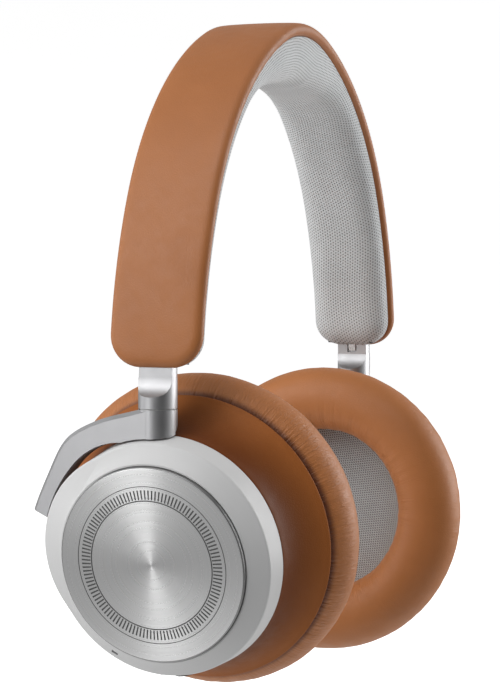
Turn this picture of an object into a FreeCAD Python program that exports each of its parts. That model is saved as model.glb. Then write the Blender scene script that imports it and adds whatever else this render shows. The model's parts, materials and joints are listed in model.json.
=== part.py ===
"""Over-ear wireless headphones: one solid per piece, millimetres.

Frame: +Z up, X from ear to ear, +Y towards the back of the head. The origin is the point where the
underside of the headband pad rests on the top of the head. "R" is the wearer's right ear cup, at -X.
Every paired piece is drawn for the left side (+X) and mirrored for the right.
"""
import FreeCAD, Part
import math
import os

V = FreeCAD.Vector

# ---- headband arch, as its outer surface seen from the front --------------------------------
TOP_Z = 18.0                 # outer surface above the head at the apex
TOP_RADIUS = 50.0            # apex arc
TOP_HALF_ANGLE = 20.0        # half the sweep of the apex arc
SWIVEL_X = 79.6              # vertical swivel axis of each cup, from the middle plane
SLIDE_RADIUS = 140.0         # arc along which each slider travels
SLIDE_Z = -93.5              # height at which that arc is vertical
STRAP_OUTSIDE = 3.7          # from the slider's arc out to the strap's outer surface
STRAP_END_Z = -85.3
STRAP_HALF_WIDTH = 14.4
STRAP_CORNER = 9.5
COVER_SKIN = 1.0             # leather over the core
COVER_EDGE = 4.0             # rolled leather edge
PAD_HALF_WIDTH = 13.0
PAD_APEX = 18.0              # depth of the pad's face below the outer surface, at the apex
PAD_SIDE = 11.0              # and along the sides
PAD_RAMP = (14.0, 42.0)      # arch angles between which the pad thins
CHANNEL_HALF_WIDTH = 9.3     # channel inside the cover that holds the core and the guides

# ---- slider, guide and detent -----------------------------------------------------------------
BARREL_RADIUS = 5.6
BARREL_HEIGHT = 8.7
STEM_RADIUS = 5.5            # rounded sides of the bar
STEM_HALF_THICK = 1.8
STEM_TOP_ANGLE = 19.4
SCOOP_RADIUS = 6.0           # sweep from the bar's flat out to the barrel's lower end
SCOOP_Z = -88.1
SLIDE_TRAVEL = 9.5           # degrees along the slide arc, about 23 mm
GUIDE_BOTTOM = 3.7
GUIDE_TOP = 20.2
GUIDE_HALF_WIDTH = 8.0
GUIDE_INSIDE = 3.6           # guide wall inboard of the slide arc
GUIDE_OUTSIDE = 2.6          # guide wall outboard of the slide arc
TAB_TOP = 23.2
SLIDE_GAP = 0.2
GROOVE_HALF_WIDTH = 1.7
GROOVE_DEPTH = 0.9
GROOVE_START = 2.3           # degrees up the slide arc, just above the barrel
STOP_PIN_RADIUS = 0.7
STOP_PIN_ANGLE = 18.6
STOP_PIN_HALF_LENGTH = 6.8
NOTCH_PITCH = 1.0            # degrees between height clicks

# ---- swivel -------------------------------------------------------------------------------------
JOINT_Z = -97.0              # underside of the slider's barrel
ARM_TOP_Z = -97.3
ARM_BOTTOM_Z = -106.4
SWIVEL_PIN_RADIUS = 3.0
SWIVEL_PIN_Z = (-100.8, -94.4)
CLIP_Z = (-95.8, -95.2)
CLIP_RADIUS = 4.0
RUNNING_GAP = 0.05

# ---- arm and tilt pivot ---------------------------------------------------------------------
ARM_FRONT = BARREL_RADIUS    # arm face outboard of the swivel axis
ARM_BACK = 4.4               # arm back inboard of it
ARM_BEVEL = 1.2
ARM_OUTER = (                # rear and height along the outer edge, joint to tip
    (4.1, -97.3), (10.5, -98.8), (17.0, -100.5), (23.5, -103.1), (28.6, -106.3),
    (31.8, -110.3), (34.6, -115.6), (37.6, -121.6), (40.2, -127.6),
)
ARM_INNER = (                # and back along the edge round the cup
    (35.2, -129.7), (32.5, -122.8), (28.6, -116.8), (23.0, -111.2), (17.3, -108.2), (9.0, -106.9),
)
ARM_SWEEP_BACK = 0.13        # the face leans inboard by this much per millimetre of length
PIVOT_X = 78.4
PIVOT_Z = -124.6
PIVOT_DEPTH = 10.6           # pivot behind the touch disc's face
PIVOT_HEIGHT = 15.0          # pivot above the disc's centre
CUP_FORWARD = 1.2            # cup's centre ahead of the swivel axis
PIVOT_PIN_RADIUS = 1.4
BUSHING_RADIUS = 2.3
BUSHING_Y = (25.5, 33.0)
TILT_REST = {"L": 1.0, "R": 8.65}
TILT_LIMITS = (-1.0, 11.0)   # limits of the tilt from upright, the same for both cups
ARM_CLEARANCE = 0.4          # between the arm and the cup at every tilt
CLEARANCE_STEPS = 10

# ---- ear cup, as radii and depths behind the disc's face ---------------------------------------
DISC_RADIUS = 28.5
DISC_THICK = 2.2
DISC_EDGE = 0.4              # rounding of the disc's face at its rim
LIP_DEPTH = 1.3              # the disc stands proud of the housing's lip
CREASE_DEPTH = 5.2
SHELL_BACK = 13.3
SHELL_RINGS = (              # depth, main radius, bulge radius, bulge offset to the rear
    (LIP_DEPTH, 29.1, 27.2, 2.0),
    (CREASE_DEPTH, 34.2, 29.3, 7.4),
    (SHELL_BACK, 35.1, 30.2, 6.6),
)
BULGE_LIFT = 15.0            # the bulge points this far above straight back
SKIRT_RADIUS = 33.6
CAVITY_RADIUS = 31.6
SKIRT_BACK = 22.0
SHELL_CREASE_FILLET = 1.0
SHELL_BACK_FILLET = 0.8
WALL_DEPTH = 9.3             # middle of the side wall, where ports and controls sit
SEAM = (42.7, 30.1)
CUSHION_WIDEST = (47.0, 40.2)
CUSHION_CROWN = (36.5, 49.5)
CUSHION_MOUTH = (26.2, 42.5)
EAR_RADIUS = 27.5
CUSHION_BACK = 26.6
SCREW_ANGLES = (25.0, 97.0, 208.0, 300.0)
SCREW_CIRCLE = 29.0

# ---- ports and controls: angle from the top of the cup towards the rear ---------------------------
CONTROL_ANGLE = 125.0
LED_ANGLE = 140.0
MIC_ANGLE = 151.0
USB_ANGLE = 168.0
JACK_ANGLE = 187.0
JACK_BORE_RADIUS = 1.8
JACK_LENGTH = 14.0
WALL_RADIUS = 34.7           # outside of the side wall on the round part of the shell
BUTTON_TRAVEL = 0.6


# ---- arch geometry ------------------------------------------------------------------------------
SLIDE_CENTRE = V(SWIVEL_X - SLIDE_RADIUS, 0, SLIDE_Z)
SIDE_RADIUS = SLIDE_RADIUS + STRAP_OUTSIDE


def arch_segments():
    """Centre, radius and end angle of each arc from the apex down, angles from vertical."""
    side_centre = SLIDE_CENTRE
    top_centre = V(0, 0, TOP_Z - TOP_RADIUS)
    angle = math.radians(TOP_HALF_ANGLE)
    normal = V(math.sin(angle), 0, math.cos(angle))
    join = top_centre + normal * TOP_RADIUS
    gap = join - side_centre
    radius = (gap.dot(gap) - SIDE_RADIUS ** 2) / (2 * (normal.dot(gap) - SIDE_RADIUS))
    middle_centre = join - normal * radius
    across = middle_centre - side_centre
    side_angle = math.degrees(math.atan2(across.x, across.z))
    return (
        (top_centre, TOP_RADIUS, TOP_HALF_ANGLE),
        (middle_centre, radius, side_angle),
        (side_centre, SIDE_RADIUS, 90.0),
    )


SEGMENTS = arch_segments()


def arch_point(angle, inward):
    """Point on the arch at an angle from vertical, a distance inside its outer surface."""
    for centre, radius, end in SEGMENTS:
        if abs(angle) <= end:
            break
    turn = math.radians(abs(angle))
    reach = radius - inward
    x = centre.x + reach * math.sin(turn)
    z = centre.z + reach * math.cos(turn)
    return V(math.copysign(x, angle), 0, z)


def arch_edges(inward, end):
    """Arcs of the arch at one depth, from -end to +end."""
    joins = [a for _, _, a in SEGMENTS if a < end] + [end]
    stops = [-a for a in reversed(joins)] + joins
    edges = []
    for low, high in zip(stops, stops[1:]):
        points = [arch_point(a, inward) for a in (low, (low + high) / 2, high)]
        edges.append(Part.Arc(*points).toShape())
    return edges


def band(outer, inner, end, half_width):
    """Strip of the arch between two depths."""
    edges = arch_edges(outer, end) + arch_edges(inner, end)
    for side in (-end, end):
        edges.append(Part.makeLine(arch_point(side, outer), arch_point(side, inner)))
    wire = Part.Wire(Part.__sortEdges__(edges))
    face = Part.Face(wire)
    face.translate(V(0, -half_width, 0))
    return face.extrude(V(0, 2 * half_width, 0))


def strap_outline(half_width, end_z, corner):
    """Block that trims the strap's ends to length and rounds their corners."""
    block = Part.makeBox(240, 2 * half_width, 60 - end_z, V(-120, -half_width, end_z))
    low_edges = []
    for edge in block.Edges:
        box = edge.BoundBox
        if box.XLength > 200 and box.ZMax < end_z + 1:
            low_edges.append(edge)
    return block.makeFillet(corner, low_edges)


def mirrored(shape):
    return shape.mirror(V(0, 0, 0), V(1, 0, 0))


def for_side(shape, side):
    return shape if side == "L" else mirrored(shape)


# ---- headband --------------------------------------------------------------------------------------
STRAP_END_ANGLE = 89.0


def pad_depth(angle):
    """Depth of the pad's face: thick at the apex and thinner along the sides."""
    low, high = PAD_RAMP
    part = min(max((abs(angle) - low) / (high - low), 0.0), 1.0)
    ease = part * part * (3 - 2 * part)
    return PAD_APEX + (PAD_SIDE - PAD_APEX) * ease


def guide_pocket(gap):
    """Room for a slider guide, on both sides."""
    low = GUIDE_BOTTOM - 3.0
    pocket = slide_bar(GUIDE_INSIDE + gap, GUIDE_OUTSIDE + gap, GUIDE_HALF_WIDTH + gap, low, TAB_TOP + 0.4)
    return pocket.fuse(mirrored(pocket))


def headband_cover():
    outer = band(0, COVER_EDGE, STRAP_END_ANGLE, STRAP_HALF_WIDTH)
    channel = band(COVER_SKIN, COVER_EDGE + 1, STRAP_END_ANGLE, CHANNEL_HALF_WIDTH)
    trim = strap_outline(STRAP_HALF_WIDTH, STRAP_END_Z, STRAP_CORNER)
    return outer.cut(channel).common(trim)


def headband_core():
    end = 90.0 - GUIDE_TOP - 0.4
    return band(COVER_SKIN + 0.1, COVER_SKIN + 0.8, end, GUIDE_HALF_WIDTH)


def headband_cable():
    end = 90.0 - TAB_TOP - 0.8
    return band(2.2, 2.8, end, 2.0)


def headband_pad():
    end = STRAP_END_ANGLE
    edges = arch_edges(COVER_EDGE + 0.1, end)
    count = 40
    angles = [-end + 2 * end * i / count for i in range(count + 1)]
    inner = Part.BSplineCurve()
    inner.interpolate([arch_point(a, pad_depth(a)) for a in angles])
    edges.append(inner.toShape())
    for side in (-end, end):
        edges.append(Part.makeLine(arch_point(side, COVER_EDGE + 0.1), arch_point(side, pad_depth(side))))
    face = Part.Face(Part.Wire(Part.__sortEdges__(edges)))
    face.translate(V(0, -PAD_HALF_WIDTH, 0))
    pad = face.extrude(V(0, 2 * PAD_HALF_WIDTH, 0))
    rib = band(2.1, COVER_EDGE + 0.5, end, CHANNEL_HALF_WIDTH - 0.3)
    pad = pad.fuse(rib)
    pad = pad.cut(guide_pocket(0.1))
    pad = pad.cut(band(2.0, 2.9, 90.0 - TAB_TOP, 2.1))
    trim = strap_outline(PAD_HALF_WIDTH, STRAP_END_Z + 0.3, STRAP_CORNER - 1.0)
    return pad.common(trim).removeSplitter()


# ---- slider guide, slider and height detent, drawn for the left side ---------------------------------
def sweep_on_slide(face, start, end):
    """Turn a face lying at the slide arc's vertical point along that arc."""
    solid = face.revolve(SLIDE_CENTRE, V(0, -1, 0), end - start)
    solid.rotate(SLIDE_CENTRE, V(0, -1, 0), start)
    return solid


def slide_bar(inside, outside, half_width, start, end):
    """Bar of rectangular section along the slide arc."""
    points = (
        V(SWIVEL_X - inside, -half_width, SLIDE_Z),
        V(SWIVEL_X + outside, -half_width, SLIDE_Z),
        V(SWIVEL_X + outside, half_width, SLIDE_Z),
        V(SWIVEL_X - inside, half_width, SLIDE_Z),
    )
    return sweep_on_slide(Part.Face(Part.makePolygon(points + points[:1])), start, end)


def on_slide(shape, angle):
    """Carry a shape from the slide arc's vertical point up to an angle along it."""
    moved = shape.copy()
    moved.rotate(SLIDE_CENTRE, V(0, -1, 0), angle)
    return moved


def screw_places():
    """Angle along the slide arc and Y of the two screws in a guide's tab."""
    angle = (GUIDE_TOP + TAB_TOP) / 2
    return ((angle, -4.5), (angle, 4.5))


def guide_screw_shape(radius, head_radius, depth):
    """Screw along the arch's radius, its head under the leather, at the arc's vertical point."""
    face_x = SWIVEL_X + STRAP_OUTSIDE - COVER_SKIN - 0.1
    shank = Part.makeCylinder(radius, depth, V(face_x - depth, 0, SLIDE_Z), V(1, 0, 0))
    head = Part.makeCylinder(head_radius, 0.4, V(face_x - 0.4, 0, SLIDE_Z), V(1, 0, 0))
    return shank.fuse(head)


def slider_guide():
    body = slide_bar(GUIDE_INSIDE, GUIDE_OUTSIDE, GUIDE_HALF_WIDTH, GUIDE_BOTTOM, GUIDE_TOP)
    tab_outside = STRAP_OUTSIDE - COVER_SKIN - 0.9
    body = body.fuse(slide_bar(0.0, tab_outside, GUIDE_HALF_WIDTH, GUIDE_TOP - 0.5, TAB_TOP))
    stem_room = STEM_HALF_THICK + SLIDE_GAP
    room_top = STEM_TOP_ANGLE + 0.2
    channel = slide_bar(stem_room, stem_room, BARREL_RADIUS + SLIDE_GAP, GUIDE_BOTTOM - 1, room_top)
    pin_room = math.degrees((STOP_PIN_RADIUS + 0.1) / SLIDE_RADIUS)
    slot_low = STOP_PIN_ANGLE - SLIDE_TRAVEL - pin_room
    slot = slide_bar(1.0, 1.0, STOP_PIN_HALF_LENGTH + 0.2, slot_low, room_top)
    spring_room = slide_bar(GUIDE_INSIDE + 1, stem_room, 1.6, 6.0, 13.0)
    body = body.cut(channel).cut(slot).cut(spring_room)
    for angle, y in screw_places():
        hole = guide_screw_shape(0.8, 0.8, 4.0)
        hole.translate(V(0, y, 0))
        body = body.cut(on_slide(hole, angle))
    return body


def guide_screws():
    """All four core screws, two on each side."""
    screws = []
    for angle, y in screw_places():
        screw = guide_screw_shape(0.75, 1.3, 2.6)
        screw.translate(V(0, y, 0))
        screw = on_slide(screw, angle)
        screws += [screw, mirrored(screw)]
    return Part.makeCompound(screws)


def screw_room():
    """Clearance for the screws' heads and shanks in the core."""
    rooms = []
    for angle, y in screw_places():
        room = guide_screw_shape(1.4, 1.4, 3.0)
        room.translate(V(0, y, 0))
        room = on_slide(room, angle)
        rooms += [room, mirrored(room)]
    return Part.makeCompound(rooms)


def detent_spring():
    """Leaf spring in the guide's inner wall, its nose just clear of the track's lands."""
    leaf = slide_bar(GUIDE_INSIDE - 0.2, -(GUIDE_INSIDE - 0.5), 1.3, 6.3, 12.7)
    nose_x = SWIVEL_X - STEM_HALF_THICK - 0.25 - 0.6
    nose = Part.makeCylinder(0.6, 2.4, V(nose_x, -1.2, SLIDE_Z), V(0, 1, 0))
    post = Part.makeBox(0.7, 2.4, 1.0, V(nose_x - 0.65, -1.2, SLIDE_Z - 0.5))
    return leaf.fuse(on_slide(nose.fuse(post), 9.5))


def stem_section():
    """Bar with two flats and rounded sides, at the slide arc's vertical point."""
    half_width = math.sqrt(STEM_RADIUS ** 2 - STEM_HALF_THICK ** 2)
    corners = {}
    for sx in (-1, 1):
        for sy in (-1, 1):
            corners[sx, sy] = V(SWIVEL_X + sx * STEM_HALF_THICK, sy * half_width, SLIDE_Z)
    front = V(SWIVEL_X, -STEM_RADIUS, SLIDE_Z)
    rear = V(SWIVEL_X, STEM_RADIUS, SLIDE_Z)
    edges = (
        Part.makeLine(corners[1, -1], corners[1, 1]),
        Part.Arc(corners[1, 1], rear, corners[-1, 1]).toShape(),
        Part.makeLine(corners[-1, 1], corners[-1, -1]),
        Part.Arc(corners[-1, -1], front, corners[1, -1]).toShape(),
    )
    return Part.Face(Part.Wire(edges))


def scoop(direction):
    """Flat milled into the barrel, outboard (+1) or inboard (-1), that sweeps out at its lower end."""
    flat_x = SWIVEL_X + direction * (STEM_HALF_THICK + 0.06)
    width = BARREL_RADIUS + 1
    sweep_centre = V(flat_x + direction * SCOOP_RADIUS, -width, SCOOP_Z)
    sweep = Part.makeCylinder(SCOOP_RADIUS, 2 * width, sweep_centre, V(0, 1, 0))
    x_low = flat_x if direction > 0 else flat_x - SCOOP_RADIUS
    above = Part.makeBox(SCOOP_RADIUS, 2 * width, 10, V(x_low, -width, SCOOP_Z))
    return sweep.fuse(above)


def slider():
    """Curved bar with a flat on each face, ending in the swivel's barrel."""
    stem = sweep_on_slide(stem_section(), 0, STEM_TOP_ANGLE)
    groove_out = -(STEM_HALF_THICK - GROOVE_DEPTH)
    groove_top = STEM_TOP_ANGLE + 1
    groove = slide_bar(STEM_HALF_THICK + 1, groove_out, GROOVE_HALF_WIDTH, GROOVE_START, groove_top)
    pin_hole = Part.makeCylinder(STOP_PIN_RADIUS, 14, V(SWIVEL_X, -7, SLIDE_Z), V(0, 1, 0))
    stem = stem.cut(on_slide(pin_hole, STOP_PIN_ANGLE)).cut(groove)
    barrel = Part.makeCylinder(BARREL_RADIUS, BARREL_HEIGHT, V(SWIVEL_X, 0, JOINT_Z))
    barrel = barrel.cut(scoop(1)).cut(scoop(-1))
    bore_radius = SWIVEL_PIN_RADIUS + RUNNING_GAP
    bore_top = SWIVEL_PIN_Z[1] + 0.4
    bore = Part.makeCylinder(bore_radius, bore_top - JOINT_Z + 1, V(SWIVEL_X, 0, JOINT_Z - 1))
    clip_room = CLIP_Z[1] - CLIP_Z[0] + 0.3
    ring_room = Part.makeCylinder(CLIP_RADIUS + 0.2, clip_room, V(SWIVEL_X, 0, CLIP_Z[0] - 0.15))
    body = barrel.cut(bore).cut(ring_room).fuse(stem)
    return max(body.Solids, key=lambda solid: solid.Volume)


def detent_track():
    """Notched steel strip lying in the slider's inner groove."""
    low = GROOVE_START + 0.2
    high = STEM_TOP_ANGLE - 1.6
    strip = slide_bar(STEM_HALF_THICK - 0.02, -(STEM_HALF_THICK - GROOVE_DEPTH + 0.02), 1.2, low, high)
    notch = Part.makeCylinder(0.45, 4, V(SWIVEL_X - STEM_HALF_THICK, -2, SLIDE_Z), V(0, 1, 0))
    count = int(SLIDE_TRAVEL / NOTCH_PITCH) - 1
    for step in range(count + 1):
        strip = strip.cut(on_slide(notch, 9.5 + step * NOTCH_PITCH))
    return strip


def slider_stop():
    """Cross pin at the slider's top that meets the end of the guide's slot."""
    length = 2 * STOP_PIN_HALF_LENGTH
    pin = Part.makeCylinder(STOP_PIN_RADIUS, length, V(SWIVEL_X, -length / 2, SLIDE_Z), V(0, 1, 0))
    return on_slide(pin, STOP_PIN_ANGLE)


# ---- swivel and arm, drawn for the left side ----------------------------------------------------------
def swivel_pin():
    low, high = SWIVEL_PIN_Z
    pin = Part.makeCylinder(SWIVEL_PIN_RADIUS, high - low, V(SWIVEL_X, 0, low))
    groove = Part.makeCylinder(SWIVEL_PIN_RADIUS + 1, CLIP_Z[1] - CLIP_Z[0], V(SWIVEL_X, 0, CLIP_Z[0]))
    core = Part.makeCylinder(SWIVEL_PIN_RADIUS - 0.5, CLIP_Z[1] - CLIP_Z[0], V(SWIVEL_X, 0, CLIP_Z[0]))
    return pin.cut(groove.cut(core))


def swivel_clip():
    """Snap ring in the pin's groove, open on one side."""
    height = CLIP_Z[1] - CLIP_Z[0]
    ring = Part.makeCylinder(CLIP_RADIUS, height, V(SWIVEL_X, 0, CLIP_Z[0]))
    hole = Part.makeCylinder(SWIVEL_PIN_RADIUS - 0.45, height, V(SWIVEL_X, 0, CLIP_Z[0]))
    mouth = Part.makeBox(2 * CLIP_RADIUS, 2.2, height, V(SWIVEL_X - 8, -1.1, CLIP_Z[0]))
    return ring.cut(hole).cut(mouth)


def swivel_washer():
    height = JOINT_Z - ARM_TOP_Z - 0.08
    ring = Part.makeCylinder(BARREL_RADIUS - 0.5, height, V(SWIVEL_X, 0, ARM_TOP_Z))
    return ring.cut(Part.makeCylinder(SWIVEL_PIN_RADIUS + 0.1, height, V(SWIVEL_X, 0, ARM_TOP_Z)))


def curve_through(points):
    """Smooth edge through (rear, height) points in the arm's side view."""
    curve = Part.BSplineCurve()
    curve.interpolate([V(0, rear, height) for rear, height in points])
    return curve.toShape()


def arm_face():
    """Side view of the arm: top edge, drop to the square end, and the inner edge round the cup."""
    corner = V(0, *ARM_OUTER[0])
    tip_outer = V(0, *ARM_OUTER[-1])
    tip_inner = V(0, *ARM_INNER[0])
    inner_end = V(0, *ARM_INNER[-1])
    edges = (
        Part.makeLine(V(0, 0, ARM_TOP_Z), corner),
        curve_through(ARM_OUTER),
        Part.makeLine(tip_outer, tip_inner),
        curve_through(ARM_INNER),
        Part.makeLine(inner_end, V(0, 0, ARM_BOTTOM_Z)),
        Part.makeLine(V(0, 0, ARM_BOTTOM_Z), V(0, 0, ARM_TOP_Z)),
    )
    return Part.Face(Part.Wire(edges))


def arm_plate():
    """The arm with its leaning outboard face, and a bevel along that face's upper edge."""
    face = arm_face()
    face.translate(V(SWIVEL_X - ARM_BACK, 0, 0))
    plate = face.extrude(V(ARM_FRONT + ARM_BACK, 0, 0))
    lean = Part.makeBox(20, 80, 60, V(0, 0, -30))
    lean.rotate(V(0, 0, 0), V(0, 0, 1), math.degrees(math.atan(ARM_SWEEP_BACK)))
    lean.translate(V(SWIVEL_X + ARM_FRONT, 0, -115))
    plate = plate.cut(lean)
    curved = [edge for edge in plate.Edges if edge.Length > 40]
    upper = max(curved, key=lambda edge: edge.BoundBox.XMin + edge.BoundBox.ZMax)
    return plate.makeChamfer(ARM_BEVEL, [upper])


def arm():
    height = ARM_TOP_Z - ARM_BOTTOM_Z
    barrel = Part.makeCylinder(BARREL_RADIUS, height, V(SWIVEL_X, 0, ARM_BOTTOM_Z))
    body = barrel.fuse(arm_plate())
    low, high = TILT_LIMITS
    for step in range(CLEARANCE_STEPS + 1):
        tilt = low + (high - low) * step / CLEARANCE_STEPS
        body = body.cut(tilted(cup_envelope(), tilt))
    pin_hole = Part.makeCylinder(SWIVEL_PIN_RADIUS, 12, V(SWIVEL_X, 0, SWIVEL_PIN_Z[0]))
    pivot_hole = Part.makeCylinder(PIVOT_PIN_RADIUS, 30, V(PIVOT_X, 22, PIVOT_Z), V(0, 1, 0))
    pieces = body.cut(pin_hole).cut(pivot_hole).Solids
    return max(pieces, key=lambda solid: solid.Volume)


def tilt_pin():
    """Pin through the arm's end into the housing, trimmed flush with the arm."""
    start = BUSHING_Y[0] - CUP_FORWARD + 0.3
    pin = Part.makeCylinder(PIVOT_PIN_RADIUS, 20, V(PIVOT_X, start, PIVOT_Z), V(0, 1, 0))
    inside = Part.makeBox(20, 36 - start, 20, V(PIVOT_X - 10, start, PIVOT_Z - 10))
    return pin.common(arm_plate().fuse(inside))


# ---- cup frame: depth behind the disc's face, height above its centre, distance to the rear ---------------
def cup_to_world(shape):
    """Move a cup piece, drawn with x up, y rear and z outboard, to the upright left cup."""
    matrix = FreeCAD.Matrix(
        0, 0, 1, PIVOT_X + PIVOT_DEPTH,
        0, 1, 0, -CUP_FORWARD,
        -1, 0, 0, PIVOT_Z - PIVOT_HEIGHT,
        0, 0, 0, 1,
    )
    return shape.transformed(matrix)


def tilted(shape, tilt):
    """Turn a piece of the upright left cup about its pivot; positive looks down."""
    turned = shape.copy()
    turned.rotate(V(PIVOT_X, 0, PIVOT_Z), V(0, 1, 0), tilt)
    return turned


def cup_point(depth, up, rear):
    """Place in the drawing frame of cup_to_world, where x runs down and z outboard."""
    return V(-up, rear, -depth)


def polar(angle, radius, depth):
    turn = math.radians(angle)
    return cup_point(depth, radius * math.cos(turn), radius * math.sin(turn))


def turned(profile):
    """Solid of revolution about the cup's axis from (radius, depth) corners."""
    points = [V(radius, 0, -depth) for radius, depth in profile]
    face = Part.Face(Part.makePolygon(points + points[:1]))
    return face.revolve(V(0, 0, 0), V(0, 0, 1), 360)


def disc(radius, low, high):
    return Part.makeCylinder(radius, high - low, cup_point(high, 0, 0), V(0, 0, 1))


def ring(outer, inner, low, high):
    return disc(outer, low, high).cut(disc(inner, low, high))


def radial_frame(shape, angle, depth):
    """Place a shape drawn with +X pointing out of the side wall and Z outboard."""
    moved = shape.copy()
    moved.rotate(V(0, 0, 0), V(0, 0, 1), 180.0 - angle)
    moved.translate(V(0, 0, -depth))
    return moved


def egg_wire(depth, radius, bulge_radius, offset):
    """Round outline with a bulge towards the tilt pivot, joined by tangent lines."""
    lean = math.acos((radius - bulge_radius) / offset)
    sides = []
    for sign in (1, -1):
        direction = V(sign * math.sin(lean), math.cos(lean), 0)
        on_main = direction * radius
        on_bulge = direction * bulge_radius + V(0, offset, 0)
        sides.append((on_main, on_bulge))
    (main_a, bulge_a), (main_b, bulge_b) = sides
    edges = (
        Part.Arc(main_b, V(0, -radius, 0), main_a).toShape(),
        Part.makeLine(main_a, bulge_a),
        Part.Arc(bulge_a, V(0, offset + bulge_radius, 0), bulge_b).toShape(),
        Part.makeLine(bulge_b, main_b),
    )
    wire = Part.Wire(edges)
    wire.rotate(V(0, 0, 0), V(0, 0, 1), BULGE_LIFT)
    wire.translate(V(0, 0, -depth))
    return wire


def egg_solid(grow):
    """Outer form of the housing, or that form grown for clearance."""
    solids = []
    for front, back in zip(SHELL_RINGS, SHELL_RINGS[1:]):
        wires = []
        for depth, radius, bulge, offset in (front, back):
            wires.append(egg_wire(depth, radius + grow, bulge + grow, offset))
        solids.append(Part.makeLoft(wires, True, True))
    return solids[0].fuse(solids[1])


def cup_envelope():
    """Housing and cushion back, grown by the arm's clearance, on the upright left cup."""
    grow = ARM_CLEARANCE
    body = egg_solid(grow)
    radius, depth = SEAM
    back_radius = SHELL_RINGS[-1][1]
    flare = (
        (0, SHELL_BACK - 0.1),
        (back_radius + 0.6 + grow, SHELL_BACK - 0.1),
        (radius + grow, depth - 4),
        (radius + grow, depth + 4),
        (0, depth + 4),
    )
    return cup_to_world(body.fuse(turned(flare)))


# ---- ear cup pieces, drawn in the cup frame -----------------------------------------------------------------
def bushing_hole(radius, low, high):
    """Cylinder along the tilt axis."""
    return Part.makeCylinder(radius, high - low, cup_point(PIVOT_DEPTH, PIVOT_HEIGHT, low), V(0, 1, 0))


def usb_block(width, height, length, outer):
    """Upright slab pointing out of the side wall at the charging port."""
    slab = Part.makeBox(length, width, height, V(outer - length, -width / 2, -height / 2))
    return radial_frame(slab, USB_ANGLE, WALL_DEPTH)


def slot_block(width, height, low, high, angle):
    slab = Part.makeBox(high - low, width, height, V(low, -width / 2, -height / 2))
    return radial_frame(slab, angle, WALL_DEPTH)


def wall_cylinder(radius, low, high, angle):
    rod = Part.makeCylinder(radius, high - low, V(low, 0, 0), V(1, 0, 0))
    return radial_frame(rod, angle, WALL_DEPTH)


def mic_slot():
    slot = Part.makeBox(0.9, 2.2, 9, V(31.6, -1.1, -8))
    return radial_frame(slot, MIC_ANGLE, 0)


def edges_at_depth(shape, depth):
    """Edges that lie flat at one depth in the cup's frame."""
    found = []
    for edge in shape.Edges:
        box = edge.BoundBox
        if abs(box.ZMin + depth) < 0.01 and abs(box.ZMax + depth) < 0.01:
            found.append(edge)
    return found


def outer_shell(side):
    body = egg_solid(0).removeSplitter()
    body = body.makeFillet(SHELL_CREASE_FILLET, edges_at_depth(body, CREASE_DEPTH))
    body = body.makeFillet(SHELL_BACK_FILLET, edges_at_depth(body, SHELL_BACK))
    body = body.fuse(disc(SKIRT_RADIUS, SHELL_BACK - 1, SKIRT_BACK))
    body = body.cut(disc(DISC_RADIUS + 0.15, LIP_DEPTH - 1, DISC_THICK + 0.1))
    front_wall = 3.1
    cavity = turned((
        (0, front_wall),
        (27.0, front_wall),
        (CAVITY_RADIUS, CREASE_DEPTH + 2.6),
        (CAVITY_RADIUS, SKIRT_BACK + 1),
        (0, SKIRT_BACK + 1),
    ))
    bosses = []
    for angle in SCREW_ANGLES:
        foot = polar(angle, SCREW_CIRCLE, SKIRT_BACK)
        bosses.append(Part.makeCylinder(2.2, SKIRT_BACK - 7.0, foot, V(0, 0, 1)))
    pivot_boss = bushing_hole(3.5, BUSHING_Y[0], BUSHING_Y[1] - 1.5)
    cavity = cavity.cut(pivot_boss)
    for boss in bosses:
        cavity = cavity.cut(boss)
    body = body.cut(cavity)
    for angle in SCREW_ANGLES:
        foot = polar(angle, SCREW_CIRCLE, SKIRT_BACK)
        body = body.cut(Part.makeCylinder(0.8, 8.0, foot, V(0, 0, 1)))
    body = body.cut(bushing_hole(BUSHING_RADIUS, BUSHING_Y[0] - 1, 40))
    body = body.cut(mic_slot())
    wall = WALL_RADIUS
    if side == "R":
        body = body.cut(wall_cylinder(3.3, 28, 40, JACK_ANGLE))
        body = body.cut(usb_block(9.8, 4.1, 14, 42))
        body = body.cut(slot_block(8.2, 3.0, wall - 7, wall + 3, CONTROL_ANGLE))
        body = body.cut(wall_cylinder(0.75, 28, 40, LED_ANGLE))
    else:
        body = body.cut(slot_block(7.4, 3.4, wall - 7, wall + 3, CONTROL_ANGLE))
    return max(body.Solids, key=lambda solid: solid.Volume)


def touch_disc():
    body = disc(DISC_RADIUS, 0, DISC_THICK)
    return body.makeFillet(DISC_EDGE, edges_at_depth(body, 0))


def touch_sensor():
    """Thin sensing film on a circuit foil behind the disc's carrier wall."""
    return disc(22.0, 3.15, 3.4)


def circuit_board():
    """Round board with its larger components."""
    board = disc(25.5, 3.9, 5.0)
    for up, rear, size, height in ((10, 6, 7, 1.0), (-9, -8, 6, 0.9), (-2, 14, 4, 1.2), (8, -12, 5, 0.8)):
        corner = cup_point(5.0 + height, up + size / 2, rear - size / 2)
        board = board.fuse(Part.makeBox(size, size, height, corner))
    return board


def tilt_bushing():
    low, high = BUSHING_Y
    tube = bushing_hole(BUSHING_RADIUS, low, high - 1.2)
    return tube.cut(bushing_hole(PIVOT_PIN_RADIUS + RUNNING_GAP, low - 1, high + 1))


def baffle():
    """Plate that closes the housing and carries the driver."""
    plate = ring(34.0, 20.5, SKIRT_BACK + 0.1, 24.1)
    for angle in SCREW_ANGLES:
        foot = polar(angle, SCREW_CIRCLE, 25)
        plate = plate.cut(Part.makeCylinder(0.85, 5, foot, V(0, 0, 1)))
        plate = plate.cut(Part.makeCylinder(1.65, 1.9, foot, V(0, 0, 1)))
    return plate


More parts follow.
